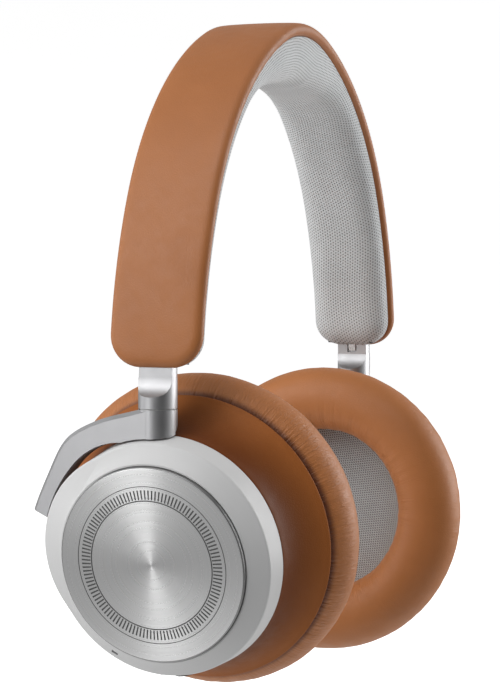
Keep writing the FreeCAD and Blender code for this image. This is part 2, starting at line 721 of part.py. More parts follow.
def baffle_screws():
    screws = []
    for angle in SCREW_ANGLES:
        head_back = 24.0
        foot = polar(angle, SCREW_CIRCLE, head_back)
        head = Part.makeCylinder(1.6, 0.8, foot, V(0, 0, 1))
        shank = Part.makeCylinder(0.75, 7.0, foot, V(0, 0, 1))
        screws.append(head.fuse(shank))
    return Part.makeCompound(screws)


def cushion_ring():
    """Stiff ring sewn into the cushion, clipped over the baffle."""
    return ring(34.0, 28.2, 24.2, CUSHION_BACK - 0.1)


def ear_cushion():
    """Foam ring with a thin skirt at the back, widest in front of its seam."""
    seam_radius, seam_depth = SEAM
    wide_radius, wide_depth = CUSHION_WIDEST
    crown_radius, crown_depth = CUSHION_CROWN
    mouth_radius, mouth_depth = CUSHION_MOUTH
    skirt = SKIRT_RADIUS + 0.8

    def at(radius, depth):
        return V(radius, 0, -depth)

    back_inner = at(skirt, SHELL_BACK + 0.3)
    back_outer = at(skirt + 0.7, SHELL_BACK + 0.3)
    seam_point = at(seam_radius, seam_depth)
    edges = (
        Part.makeLine(back_inner, back_outer),
        Part.Arc(back_outer, at(36.9, 22.4), seam_point).toShape(),
        Part.Arc(seam_point, at(46.0, 34.6), at(wide_radius, wide_depth)).toShape(),
        Part.Arc(at(wide_radius, wide_depth), at(44.0, 47.0), at(crown_radius, crown_depth)).toShape(),
        Part.Arc(at(crown_radius, crown_depth), at(29.2, 47.6), at(mouth_radius, mouth_depth)).toShape(),
        Part.makeLine(at(mouth_radius, mouth_depth), at(EAR_RADIUS, CUSHION_BACK + 3)),
        Part.makeLine(at(EAR_RADIUS, CUSHION_BACK + 3), at(EAR_RADIUS, CUSHION_BACK)),
        Part.makeLine(at(EAR_RADIUS, CUSHION_BACK), at(skirt, CUSHION_BACK)),
        Part.makeLine(at(skirt, CUSHION_BACK), back_inner),
    )
    face = Part.Face(Part.Wire(edges))
    return face.revolve(V(0, 0, 0), V(0, 0, 1), 360)


def ear_cloth():
    return disc(EAR_RADIUS - 0.2, CUSHION_BACK + 1.0, CUSHION_BACK + 1.6)


def driver_frame():
    """Basket round the diaphragm, with a grille of slots in front of it."""
    body = disc(20.3, 19.0, 26.4).cut(disc(19.2, 20.2, 25.4))
    body = body.cut(disc(12.2, 18, 21))
    for step in range(8):
        slot = Part.makeBox(9.0, 2.4, 4, V(7.5, -1.2, -28))
        slot.rotate(V(0, 0, 0), V(0, 0, 1), step * 45)
        body = body.cut(slot)
    return body


def driver_magnet():
    return disc(12.0, 12.6, 20.1)


def driver_diaphragm():
    """Shallow dome and surround."""
    sphere_radius = 40.0
    middle = Part.makeSphere(sphere_radius, cup_point(23.8 - sphere_radius, 0, 0))
    shell = middle.cut(Part.makeSphere(sphere_radius - 0.25, cup_point(23.8 - sphere_radius, 0, 0)))
    return shell.common(disc(13.0, 20.5, 24.2)).fuse(ring(19.0, 12.9, 21.5, 21.8))


def microphones():
    """Outer microphone behind its slot in the housing, inner one on the baffle."""
    outer = Part.makeBox(2.6, 3.4, 1.0, V(28.3, -1.7, -9.2))
    outer = radial_frame(outer, MIC_ANGLE, 0)
    inner = Part.makeBox(2.6, 3.4, 1.0, V(22.5, -1.7, -SKIRT_BACK))
    inner = radial_frame(inner, MIC_ANGLE, 0)
    return Part.makeCompound([outer, inner])


def audio_jack():
    rod = wall_cylinder(3.2, WALL_RADIUS - JACK_LENGTH - 1.2, WALL_RADIUS, JACK_ANGLE)
    return rod.cut(wall_cylinder(JACK_BORE_RADIUS, WALL_RADIUS - JACK_LENGTH, 40, JACK_ANGLE))


def usb_port():
    body = usb_block(9.7, 4.0, 8.0, WALL_RADIUS)
    cavity = usb_block(8.94, 3.26, 6.8, WALL_RADIUS + 0.3)
    tongue = usb_block(6.7, 0.7, 6.0, WALL_RADIUS - 0.8)
    return body.cut(cavity).fuse(tongue)


def power_switch():
    """Sliding knob: a finger pad in the slot, on a wider foot inside the wall."""
    wall = WALL_RADIUS
    pad = slot_block(4.4, 2.6, wall - 6.0, wall + 0.9, CONTROL_ANGLE)
    for groove in (-1.2, 0, 1.2):
        cut = Part.makeBox(1, 0.4, 4, V(wall + 0.5, groove - 0.2, -2))
        pad = pad.cut(radial_frame(cut, CONTROL_ANGLE, WALL_DEPTH))
    return pad


def power_switch_body():
    wall = WALL_RADIUS
    return slot_block(9.0, 4.0, wall - 9.4, wall - 6.4, CONTROL_ANGLE)


def status_led():
    return wall_cylinder(0.7, WALL_RADIUS - 2.6, WALL_RADIUS + 0.2, LED_ANGLE)


def mode_button():
    wall = WALL_RADIUS
    return slot_block(6.8, 2.8, wall - 5.6, wall + 0.9, CONTROL_ANGLE)


def mode_switch():
    """Tactile switch under the button."""
    wall = WALL_RADIUS
    return slot_block(6.0, 3.6, wall - 9.2, wall - 5.6 - BUTTON_TRAVEL - 0.2, CONTROL_ANGLE)


def battery():
    return Part.makeBox(32, 22, 5.0, cup_point(11.8, 16, -11))


# ---- all pieces ------------------------------------------------------------------------------------------
def headband_pieces():
    screws = guide_screws()
    core = headband_core().cut(screw_room())
    pieces = {
        "headband_cover": headband_cover(),
        "headband_core": core,
        "headband_pad": headband_pad(),
        "headband_cable": headband_cable(),
        "guide_screws": screws,
    }
    return pieces


def side_pieces(side):
    """Pieces of one side that don't tilt with the cup."""
    drawn = {
        "slider_guide": slider_guide(),
        "detent_spring": detent_spring(),
        "slider": slider(),
        "detent_track": detent_track(),
        "slider_stop": slider_stop(),
        "swivel_pin": swivel_pin(),
        "swivel_clip": swivel_clip(),
        "swivel_washer": swivel_washer(),
        "arm": arm(),
        "tilt_pin": tilt_pin(),
    }
    return {f"{name}_{side}": for_side(shape, side) for name, shape in drawn.items()}


def cup_pieces(side):
    drawn = {
        f"outer_shell_{side}": outer_shell(side),
        f"touch_disc_{side}": touch_disc(),
        f"tilt_bushing_{side}": tilt_bushing(),
        f"circuit_board_{side}": circuit_board(),
        f"baffle_{side}": baffle(),
        f"baffle_screws_{side}": baffle_screws(),
        f"cushion_ring_{side}": cushion_ring(),
        f"ear_cushion_{side}": ear_cushion(),
        f"ear_cloth_{side}": ear_cloth(),
        f"driver_frame_{side}": driver_frame(),
        f"driver_magnet_{side}": driver_magnet(),
        f"driver_diaphragm_{side}": driver_diaphragm(),
        f"microphones_{side}": microphones(),
    }
    if side == "R":
        drawn["touch_sensor"] = touch_sensor()
        drawn["audio_jack"] = audio_jack()
        drawn["usb_port"] = usb_port()
        drawn["power_switch"] = power_switch()
        drawn["power_switch_body"] = power_switch_body()
        drawn["status_led"] = status_led()
    else:
        drawn["battery"] = battery()
        drawn["mode_button"] = mode_button()
        drawn["mode_switch"] = mode_switch()
    placed = {}
    for name, shape in drawn.items():
        placed[name] = for_side(tilted(cup_to_world(shape), TILT_REST[side]), side)
    return placed


def all_pieces():
    pieces = headband_pieces()
    for side in ("R", "L"):
        pieces.update(side_pieces(side))
        pieces.update(cup_pieces(side))
    return pieces


def main():
    os.makedirs("parts", exist_ok=True)
    for name, shape in all_pieces().items():
        shape.exportStep(f"parts/{name}.step")


if __name__ == "__main__":
    main()
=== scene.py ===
import json
import math

import bmesh
import bpy
from mathutils import Matrix, Vector, noise


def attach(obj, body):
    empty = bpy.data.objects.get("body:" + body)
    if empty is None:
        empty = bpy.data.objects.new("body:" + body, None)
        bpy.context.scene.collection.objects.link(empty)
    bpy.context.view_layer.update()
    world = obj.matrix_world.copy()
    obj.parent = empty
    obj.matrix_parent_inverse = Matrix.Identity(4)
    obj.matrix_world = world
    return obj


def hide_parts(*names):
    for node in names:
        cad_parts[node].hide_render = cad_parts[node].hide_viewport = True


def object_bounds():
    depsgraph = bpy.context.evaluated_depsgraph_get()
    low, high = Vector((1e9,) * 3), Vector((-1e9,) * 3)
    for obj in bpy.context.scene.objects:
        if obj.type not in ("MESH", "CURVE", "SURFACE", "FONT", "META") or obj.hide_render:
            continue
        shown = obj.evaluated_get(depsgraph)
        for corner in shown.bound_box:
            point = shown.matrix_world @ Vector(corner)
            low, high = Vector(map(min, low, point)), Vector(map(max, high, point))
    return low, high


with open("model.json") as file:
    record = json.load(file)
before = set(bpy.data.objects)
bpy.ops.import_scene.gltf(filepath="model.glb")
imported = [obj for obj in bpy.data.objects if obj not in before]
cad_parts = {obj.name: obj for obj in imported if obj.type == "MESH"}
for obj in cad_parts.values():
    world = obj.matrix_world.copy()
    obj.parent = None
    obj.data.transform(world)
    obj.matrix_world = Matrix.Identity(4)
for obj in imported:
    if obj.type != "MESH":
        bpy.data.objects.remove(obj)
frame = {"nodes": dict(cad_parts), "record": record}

CAD_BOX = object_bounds()
MM = 0.001
SIDES = {"R": "right", "L": "left"}

# ---- headband, millimetres ------------------------------------------------------------------------
TOP_Z = 18.0
TOP_RADIUS = 50.0
TOP_HALF_ANGLE = 20.0
SWIVEL_X = 79.6
SLIDE_RADIUS = 140.0
SLIDE_Z = -93.5
SIDE_RADIUS = 143.7
STRAP_END_Z = -85.3
STRAP_HALF_WIDTH = 14.4
STRAP_CORNER = 9.5
STRAP_THICK = 4.0
STRAP_CROWN = 0.35
PAD_HALF_WIDTH = 13.0
PAD_APEX = 18.0
PAD_SIDE = 11.0
PAD_RAMP = (14.0, 42.0)              # degrees from the apex over which the pad grows thinner
PAD_BACK = STRAP_THICK + 0.12
PAD_EDGE = 9.0                       # how far in from its outline the pad reaches its full depth
CHANNEL_DEPTH = 1.8                  # sunk into the pad's back where a slider's strip runs
CHANNEL_HALF_WIDTH = 5.6
CHANNEL_START = 45                   # degrees from the apex

# ---- cups, millimetres: radius and depth behind the disc's face ---------------------------------------
PIVOT_X = 78.4
PIVOT_Z = -124.6
PIVOT_DEPTH = 10.6
PIVOT_HEIGHT = 15.0
CUP_FORWARD = 1.2
TILT = {"L": 1.0, "R": 8.65}
DISC_RADIUS = 28.5
TICK_COUNT = 120
EAR_RADIUS = 27.2
CLOTH_DEPTH = 27.4
FOLDS_PER_RADIAN = 62.0


# ==== helpers ============================================================================================
def add_object(name, data):
    thing = bpy.data.objects.new(name, data)
    bpy.context.scene.collection.objects.link(thing)
    return thing


def mesh_object(name, points, faces, uvs=None, scale=MM):
    """Mesh from points in millimetres; uvs is one (u, v) for each point."""
    data = bpy.data.meshes.new(name)
    data.from_pydata([Vector(p) * scale for p in points], [], faces)
    if uvs is not None:
        layer = data.uv_layers.new(name="surface")
        for loop in data.loops:
            layer.data[loop.index].uv = uvs[loop.vertex_index]
    data.polygons.foreach_set("use_smooth", [True] * len(data.polygons))
    return add_object(name, data)


def tube_faces(rows, columns):
    """Faces of a grid of points whose every row is a closed ring."""
    faces = []
    for row in range(0, (rows - 1) * columns, columns):
        for j in range(columns):
            j2 = (j + 1) % columns
            faces.append((row + j, row + j2, row + columns + j2, row + columns + j))
    return faces


def outward(thing, weld=0.0):
    """Weld doubled points and turn every face outwards."""
    shape = bmesh.new()
    shape.from_mesh(thing.data)
    if weld:
        bmesh.ops.remove_doubles(shape, verts=shape.verts, dist=weld)
    bmesh.ops.recalc_face_normals(shape, faces=shape.faces)
    shape.to_mesh(thing.data)
    shape.free()
    return thing


def apply_modifiers(thing):
    graph = bpy.context.evaluated_depsgraph_get()
    data = bpy.data.meshes.new_from_object(thing.evaluated_get(graph))
    thing.modifiers.clear()
    thing.data = data
    return thing


def smooth_by_angle(thing, degrees):
    thing.data.polygons.foreach_set("use_smooth", [True] * len(thing.data.polygons))
    thing.data.set_sharp_from_angle(angle=math.radians(degrees))
    return thing


def paint(thing, material):
    thing.data.materials.clear()
    thing.data.materials.append(material)
    return thing


# ==== materials ==========================================================================================
class Finish:
    """One node material, built a node at a time."""

    def __init__(self, name):
        self.material = bpy.data.materials.new(name)
        self.material.use_nodes = True
        self.tree = self.material.node_tree
        self.tree.nodes.clear()
        self.surface = self.tree.nodes.new("ShaderNodeBsdfPrincipled")
        output = self.tree.nodes.new("ShaderNodeOutputMaterial")
        self.tree.links.new(self.surface.outputs[0], output.inputs[0])

    def add(self, kind, inputs=None, **settings):
        node = self.tree.nodes.new("ShaderNode" + kind)
        for key, value in settings.items():
            setattr(node, key, value)
        for key, value in (inputs or {}).items():
            self.join(value, node.inputs[key])
        return node

    def join(self, value, socket):
        if isinstance(value, bpy.types.NodeSocket):
            self.tree.links.new(value, socket)
        else:
            socket.default_value = value

    def set(self, **values):
        for key, value in values.items():
            self.join(value, self.surface.inputs[key.replace("_", " ")])

    def math(self, operation, *values):
        node = self.tree.nodes.new("ShaderNodeMath")
        node.operation = operation
        for socket, value in zip(node.inputs, values):
            self.join(value, socket)
        return node.outputs[0]

    def place(self, source="Object"):
        return self.add("TexCoord").outputs[source]

    def noise(self, scale, detail=3.0, vector=None, roughness=0.5):
        inputs = {"Scale": scale, "Detail": detail, "Roughness": roughness}
        inputs["Vector"] = vector if vector is not None else self.place()
        return self.add("TexNoise", inputs).outputs["Fac"]

    def ramp(self, factor, stops):
        """Colour ramp with stops of (position, colour)."""
        node = self.add("ValToRGB", {"Fac": factor})
        band = node.color_ramp
        while len(band.elements) < len(stops):
            band.elements.new(0.5)
        for element, (position, colour) in zip(band.elements, stops):
            element.position = position
            element.color = (*colour, 1.0)
        return node.outputs["Color"]

    def level(self, factor, low, high, out_low=0.0, out_high=1.0):
        inputs = {"Value": factor, "From Min": low, "From Max": high}
        inputs["To Min"] = out_low
        inputs["To Max"] = out_high
        return self.add("MapRange", inputs, clamp=True).outputs["Result"]

    def bump(self, height, strength, distance, normal=None):
        inputs = {"Height": height, "Strength": strength, "Distance": distance}
        if normal is not None:
            inputs["Normal"] = normal
        return self.add("Bump", inputs).outputs["Normal"]


def leather_finish(name, dark, base, light, gathered=False, shaded_copy=False):
    """Smooth hide with pores and creases. Gathered leather has folds, and both kinds take painted shade
    where the mesh is marked."""
    f = Finish(name)
    mottle = f.noise(38.0, 4.0, roughness=0.6)
    colour = f.ramp(mottle, ((0.28, dark), (0.5, base), (0.74, light)))
    cells = f.add("TexVoronoi", {"Vector": f.place(), "Scale": 1350.0}, feature="DISTANCE_TO_EDGE")
    grain = f.level(cells.outputs["Distance"], 0.0, 0.16)
    pores = f.noise(2600.0, 2.0)
    rough = f.level(f.noise(300.0, 3.0), 0.3, 0.7, 0.43, 0.55)
    low = f.bump(f.noise(160.0, 4.0), 0.10, 0.0008)
    if gathered:
        across = f.add("Attribute", attribute_name="fold").outputs["Vector"]
        mask = f.add("Attribute", attribute_name="gather").outputs["Fac"]
        folds = f.math("MULTIPLY", f.noise(FOLDS_PER_RADIAN, 3.0, vector=across, roughness=0.6), mask)
        low = f.bump(folds, 0.8, 0.0005, low)
    fine = f.bump(pores, 0.16, 0.00012, low)
    normal = f.bump(grain, 0.22, 0.00009, fine)
    # painted shade: the colour darkens where the mesh is marked, at the front's seam and beside the housing on the
    # back panel
    if shaded_copy or gathered:
        shade_mask = f.add("Attribute", attribute_name="painted_shade").outputs["Fac"]
        shade_mix = f.add("Mix", {"Factor": shade_mask}, data_type="RGBA")
        f.join(colour, shade_mix.inputs[6])
        f.join((base[0] * 0.30, base[1] * 0.22, base[2] * 0.15, 1.0), shade_mix.inputs[7])
        colour = shade_mix.outputs[2]
    f.set(Base_Color=colour, Roughness=rough, Normal=normal)
    f.set(Specular_IOR_Level=0.12 if shaded_copy else 0.5, Sheen_Weight=0.0 if shaded_copy else 0.06)
    f.set(Sheen_Roughness=0.5)
    return f.material


def dot_mask(f, pitch_u, pitch_v, low, high, swirl=0.0):
    """Staggered rows of small dots over the surface, sizes in millimetres."""
    split = f.add("SeparateXYZ", {"Vector": f.place("UV")})
    u = f.math("DIVIDE", split.outputs[0], pitch_u)
    v = f.math("DIVIDE", split.outputs[1], pitch_v)
    if swirl:
        sway = f.math("MULTIPLY", f.math("SINE", f.math("MULTIPLY", split.outputs[0], 0.11)), swirl)
        v = f.math("ADD", v, sway)
    odd = f.math("MULTIPLY", f.math("MODULO", f.math("FLOOR", f.math("ADD", v, 4000.0)), 2.0), 0.5)
    across = f.math("SUBTRACT", f.math("FRACT", f.math("ADD", f.math("ADD", u, odd), 4000.0)), 0.5)
    along = f.math("SUBTRACT", f.math("FRACT", f.math("ADD", v, 4000.0)), 0.5)
    square = f.math("ADD", f.math("MULTIPLY", across, across), f.math("MULTIPLY", along, along))
    distance = f.math("SQRT", square)
    return f.level(distance, low, high)


def knit_finish(name, yarn, shade, hole, pitch_u, pitch_v, low, high, swirl=0.0):
    """Fine knitted or woven mesh: rows of small holes between raised yarn."""
    f = Finish(name)
    mask = dot_mask(f, pitch_u, pitch_v, low, high, swirl)
    fuzz = f.noise(2200.0, 3.0)
    tone = f.ramp(f.noise(60.0, 3.0), ((0.3, shade), (0.7, yarn)))
    mix = f.add("Mix", {"Factor": mask}, data_type="RGBA")
    f.join((*hole, 1.0), mix.inputs[6])
    f.join(tone, mix.inputs[7])
    normal = f.bump(f.math("ADD", mask, f.math("MULTIPLY", fuzz, 0.3)), 0.6, 0.00022)
    f.set(Base_Color=mix.outputs[2], Roughness=0.85, Normal=normal)
    f.set(Specular_IOR_Level=0.2, Sheen_Weight=0.35, Sheen_Roughness=0.5)
    return f.material


def satin_metal_finish(name, colour, low, high):
    """Bead-blasted metal: very fine grain and slight changes of polish."""
    f = Finish(name)
    grain = f.noise(4200.0, 2.0)
    rough = f.level(f.noise(220.0, 4.0), 0.3, 0.7, low, high)
    tone = f.ramp(f.noise(70.0, 3.0), ((0.3, tuple(c * 0.96 for c in colour)), (0.7, colour)))
    f.set(Base_Color=tone, Roughness=rough, Normal=f.bump(grain, 0.10, 0.00004))
    f.set(Metallic=1.0)
    return f.material


def spun_metal_finish(name, colour):
    """Disc turned on a lathe: fine concentric lines that fan the light into cones."""
    f = Finish(name)
    split = f.add("SeparateXYZ", {"Vector": f.place()})
    x2 = f.math("MULTIPLY", split.outputs[0], split.outputs[0])
    y2 = f.math("MULTIPLY", split.outputs[1], split.outputs[1])
    radius = f.math("SQRT", f.math("ADD", x2, y2))
    line = f.add("CombineXYZ", {"X": radius})
    lines = f.noise(9000.0, 4.0, vector=line.outputs[0])
    broad = f.noise(1500.0, 3.0, vector=line.outputs[0])
    rough = f.level(broad, 0.3, 0.7, 0.25, 0.33)
    tone = f.ramp(lines, ((0.3, tuple(c * 0.93 for c in colour)), (0.7, colour)))
    tangent = f.add("Tangent", direction_type="RADIAL", axis="Z")
    f.set(Base_Color=tone, Roughness=rough, Tangent=tangent.outputs[0])
    f.set(Normal=f.bump(lines, 0.05, 0.00003))
    f.set(Metallic=1.0, Anisotropic=0.9, Anisotropic_Rotation=0.25)
    return f.material


def moulded_finish(name, colour, low=0.42, high=0.5, grain_strength=0.12):
    """Moulded or lacquered part with a very fine texture."""
    f = Finish(name)
    tone = f.ramp(f.noise(45.0, 3.0), ((0.3, tuple(c * 0.965 for c in colour)), (0.7, colour)))
    rough = f.level(f.noise(180.0, 3.0), 0.3, 0.7, low, high)
    f.set(Base_Color=tone, Roughness=rough, Normal=f.bump(f.noise(3200.0, 2.0), grain_strength, 0.00005))
    f.set(Specular_IOR_Level=0.45)
    return f.material


def lens_finish(name):
    f = Finish(name)
    f.set(Base_Color=f.ramp(f.noise(900.0), ((0.3, (0.75, 0.8, 0.8)), (0.7, (0.85, 0.9, 0.9)))))
    f.set(Roughness=0.35, Transmission_Weight=0.4)
    return f.material


# one tan leather in three copies: the gathered front's copy is brighter as painted light, the back panel's copy
# darker as painted shade
TAN = leather_finish("tan_leather", (0.385, 0.132, 0.034), (0.415, 0.145, 0.039), (0.445, 0.160, 0.046))
GATHERED_LIT_TAN = leather_finish("tan_leather_gathered_lit", (0.455, 0.160, 0.042), (0.490, 0.174, 0.047),
                              (0.525, 0.190, 0.055), gathered=True)
SHADED_COPY_TAN = leather_finish("tan_leather_painted_shade", (0.345, 0.110, 0.026), (0.375, 0.121, 0.030),
                               (0.405, 0.134, 0.035), shaded_copy=True)
KNIT = knit_finish("grey_knit", (0.76, 0.78, 0.79), (0.68, 0.70, 0.71), (0.12, 0.12, 0.12),
                   1.15, 0.88, 0.10, 0.34, 1.2)
CLOTH = knit_finish("ear_cloth_weave", (0.60, 0.64, 0.65), (0.52, 0.55, 0.56), (0.07, 0.07, 0.07),
                    0.95, 0.62, 0.16, 0.42)
SATIN = satin_metal_finish("satin_aluminium", (0.47, 0.47, 0.48), 0.42, 0.48)
SPUN = spun_metal_finish("spun_aluminium", (0.84, 0.84, 0.84))
ENGRAVED = satin_metal_finish("engraved_aluminium", (0.16, 0.16, 0.16), 0.5, 0.6)
# dark metal for the disc's side wall: painted shadow of the gap between disc and housing
SHADED_DISC_SIDE = satin_metal_finish("disc_side_painted_shadow", (0.30, 0.30, 0.30), 0.35, 0.45)
GREY = moulded_finish("grey_housing", (0.68, 0.68, 0.68))
BLACK = moulded_finish("black_plastic", (0.022, 0.022, 0.023), 0.45, 0.6, 0.3)
STEEL = satin_metal_finish("port_steel", (0.62, 0.62, 0.62), 0.25, 0.35)
BRONZE = satin_metal_finish("bronze", (0.55, 0.36, 0.18), 0.35, 0.45)
WHITE = moulded_finish("white_polymer", (0.8, 0.8, 0.78))
BOARD = moulded_finish("board_green", (0.02, 0.13, 0.06))
FILM = moulded_finish("film", (0.35, 0.33, 0.30), 0.2, 0.3)
WRAP = moulded_finish("cell_wrap", (0.08, 0.10, 0.30), 0.2, 0.3)
RUBBER = moulded_finish("cable_jacket", (0.03, 0.03, 0.03), 0.6, 0.7)
LENS = lens_finish("clear_lens")

NODE_FINISH = {
    "tan_leather": TAN, "grey_knit": KNIT, "spring_steel": STEEL, "satin_aluminium": SATIN,
    "spun_aluminium": SPUN, "grey_housing": GREY, "black_plastic": BLACK, "cable_jacket": RUBBER,
    "bronze": BRONZE, "white_polymer": WHITE, "board_green": BOARD, "magnet_plate": STEEL,
    "film": FILM, "cell_wrap": WRAP, "port_steel": STEEL, "clear_lens": LENS,
}
for part_row in frame["record"]["subparts"]:
    paint(frame["nodes"][part_row["node"]], NODE_FINISH[part_row["material_slot"]])


# ==== arch =================================================================================================
SLIDE_CENTRE = (SWIVEL_X - SLIDE_RADIUS, SLIDE_Z)


def arch_segments():
    """Centre, radius and end angle of each arc from the apex down, angles from vertical."""
    angle = math.radians(TOP_HALF_ANGLE)
    normal = Vector((math.sin(angle), math.cos(angle)))
    top_centre = Vector((0.0, TOP_Z - TOP_RADIUS))
    join = top_centre + normal * TOP_RADIUS
    side_centre = Vector(SLIDE_CENTRE)
    gap = join - side_centre
    radius = (gap.dot(gap) - SIDE_RADIUS ** 2) / (2 * (normal.dot(gap) - SIDE_RADIUS))
    middle_centre = join - normal * radius
    across = middle_centre - side_centre
    side_angle = math.degrees(math.atan2(across.x, across.y))
    return (
        (top_centre, TOP_RADIUS, TOP_HALF_ANGLE),
        (middle_centre, radius, side_angle),
        (side_centre, SIDE_RADIUS, 90.0),
    )


SEGMENTS = arch_segments()
END_ANGLE = math.degrees(math.acos((STRAP_END_Z - SLIDE_Z) / SIDE_RADIUS))


def arch_point(angle, inward):
    for centre, radius, end in SEGMENTS:
        if abs(angle) <= end:
            break
    turn = math.radians(abs(angle))
    reach = radius - inward
    x = centre.x + reach * math.sin(turn)
    return math.copysign(x, angle), centre.y + reach * math.cos(turn)


def arch_lengths():
    """(end angle, length from the apex) of each arc."""
    stops = [(0.0, 0.0)]
    for centre, radius, end in SEGMENTS:
        end = min(end, END_ANGLE)
        start, length = stops[-1]
        stops.append((end, length + radius * math.radians(end - start)))
    return stops


ARCH_STOPS = arch_lengths()
ARCH_LENGTH = ARCH_STOPS[-1][1]


def angle_at(length):
    """Arch angle at a signed length from the apex along the outer surface."""
    reach = min(abs(length), ARCH_LENGTH)
    for (low_angle, low), (high_angle, high) in zip(ARCH_STOPS, ARCH_STOPS[1:]):
        if reach <= high + 1e-9:
            break
    share = (reach - low) / (high - low)
    return math.copysign(low_angle + share * (high_angle - low_angle), length)


def ring_lengths(end_gap):
    """Stations along the strap, close together at its two ends."""
    near_end = [0, 0.05, 0.15, 0.3, 0.55, 0.9, 1.3, 1.8, 2.4, 3.2, 4.2, 5.4, 6.8, 8.2, 9.6, 11.5]
    half = [ARCH_LENGTH - end_gap - d for d in near_end]
    middle = half[-1]
    count = 64
    half += [middle * (1 - (i + 1) / count) for i in range(count)]
    return [-a for a in half] + [a for a in reversed(half[:-1])]


def outline_gap(from_end, across, half_width, corner):
    """Distance inside a strip's outline, whose ends have round corners."""
    side = abs(across) - (half_width - corner)
    end = corner - from_end
    outside = math.hypot(max(side, 0.0), max(end, 0.0))
    return corner - outside - min(max(side, end), 0.0)


def local_half_width(from_end, half_width, corner):
    if from_end >= corner:
        return half_width
    return half_width - corner + math.sqrt(corner ** 2 - (corner - from_end) ** 2)


SHARES = [0, 0.004, 0.014, 0.03, 0.055, 0.09, 0.135, 0.19, 0.26, 0.35, 0.46, 0.58, 0.72, 0.86, 1.0]
ACROSS = [s - 1 for s in SHARES] + [1 - s for s in reversed(SHARES[:-1])]


def strip_mesh(name, half_width, corner, end_gap, outer, inner):
    """Closed strip along the arch; outer and inner give a depth for (gap, across, angle)."""
    points = []
    uvs = []
    stations = ring_lengths(end_gap)
    for length in stations:
        angle = angle_at(length)
        from_end = ARCH_LENGTH - end_gap - abs(length)
        wide = local_half_width(from_end, half_width, corner)
        ring = []
        for share in ACROSS:
            y = share * wide
            gap = max(outline_gap(from_end, y, half_width, corner), 0.0)
            ring.append((y, outer(gap, y, angle)))
        for share in reversed(ACROSS):
            y = share * wide
            gap = max(outline_gap(from_end, y, half_width, corner), 0.0)
            ring.append((y, inner(gap, y, angle)))
        walked = [0.0]
        for (y, depth), (next_y, next_depth) in zip(ring, ring[1:]):
            walked.append(walked[-1] + math.hypot(next_y - y, next_depth - depth))
        outer_middle = walked[len(ACROSS) // 2]
        inner_middle = walked[len(ACROSS) + len(ACROSS) // 2]
        for index, (y, depth) in enumerate(ring):
            x, z = arch_point(angle, depth)
            middle = outer_middle if index < len(ACROSS) else inner_middle
            points.append((x, y, z))
            uvs.append((length, walked[index] - middle))
    thing = mesh_object(name, points, tube_faces(len(stations), 2 * len(ACROSS)), uvs)
    return outward(thing, weld=2e-6)


def rolled(gap, radius):
    """How far a rolled edge of that radius falls away, at a distance in from the edge."""
    if gap >= radius:
        return 0.0
    return radius - math.sqrt(radius ** 2 - (radius - gap) ** 2)


def strap_outer(gap, y, angle):
    crown = STRAP_CROWN * (1 - (y / STRAP_HALF_WIDTH) ** 2)
    fall = rolled(gap, 2.6) / 2.6 * 2.0
    return fall - crown * min(gap / 4.0, 1.0)


def strap_inner(gap, y, angle):
    return STRAP_THICK - rolled(gap, 2.0)


def pad_face_depth(angle):
    low, high = PAD_RAMP
    part = min(max((abs(angle) - low) / (high - low), 0.0), 1.0)
    ease = part * part * (3 - 2 * part)
    return PAD_APEX + (PAD_SIDE - PAD_APEX) * ease


def pad_outer(gap, y, angle):
    """Lies on the strap, but sunk towards the ends to clear the sliders' notched strips."""
    channel = CHANNEL_DEPTH if abs(y) < CHANNEL_HALF_WIDTH and abs(angle) > CHANNEL_START else 0.0
    return PAD_BACK + channel


def pad_inner(gap, y, angle):
    """Full in the middle, rounding over to the leather at the edges."""
    depth = pad_face_depth(angle)
    share = min(gap / PAD_EDGE, 1.0)
    full = (1 - (1 - share) ** 2.5) ** (1 / 2.5)
    inner = PAD_BACK + (depth - PAD_BACK) * full
    return max(inner, pad_outer(gap, y, angle) + 0.02)


def build_headband():
    strap = strip_mesh("strap_leather", STRAP_HALF_WIDTH, STRAP_CORNER, 0.0, strap_outer, strap_inner)
    paint(strap, TAN)
    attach(strap, "headband")
    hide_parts("headband_cover")
    pad = strip_mesh("strap_pad", PAD_HALF_WIDTH, STRAP_CORNER - 1.0, 0.3, pad_outer, pad_inner)
    paint(pad, KNIT)
    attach(pad, "headband")
    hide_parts("headband_pad")


# ==== cups =================================================================================================
def cup_matrix(side):
    """From the cup's frame (X up, Y rear, Z out of the disc) to the row frame, metres."""
    tilt = math.radians(TILT[side])
    sign = 1 if side == "L" else -1
    up = Vector((sign * math.sin(tilt), 0, math.cos(tilt)))
    rear = Vector((0, 1, 0))
    out = Vector((sign * math.cos(tilt), 0, -math.sin(tilt)))
    pivot = Vector((sign * PIVOT_X, -CUP_FORWARD, PIVOT_Z))
    origin = (pivot + out * PIVOT_DEPTH - up * PIVOT_HEIGHT) * MM
    matrix = Matrix((up, rear, out)).transposed().to_4x4()
    matrix.translation = origin
    return matrix


def round_mesh(name, profile, count):
    """Surface of revolution about Z from (radius, depth) points, in millimetres."""
    points = []
    for radius, depth in profile:
        for step in range(count):
            turn = 2 * math.pi * step / count
            points.append((radius * math.cos(turn), radius * math.sin(turn), -depth))
    return mesh_object(name, points, tube_faces(len(profile), count))


def seat(thing, side):
    """Place a piece drawn in the cup's frame, mirroring its mesh for the left cup."""
    matrix = cup_matrix(side)
    if matrix.determinant() < 0:
        thing.data.transform(matrix)
        thing.data.flip_normals()
    else:
        thing.data.transform(matrix)
    return thing


# ---- disc --------------------------------------------------------------------------------------------------
def disc_level(radius, on_tick):
    """Depth of the disc's face: two fine grooves and a ring of engraved ticks."""
    if 18.62 <= radius <= 18.92 or 22.86 <= radius <= 23.02:
        return 0.16
    if on_tick and 19.15 <= radius <= 21.85:
        return 0.16
    return 0.0


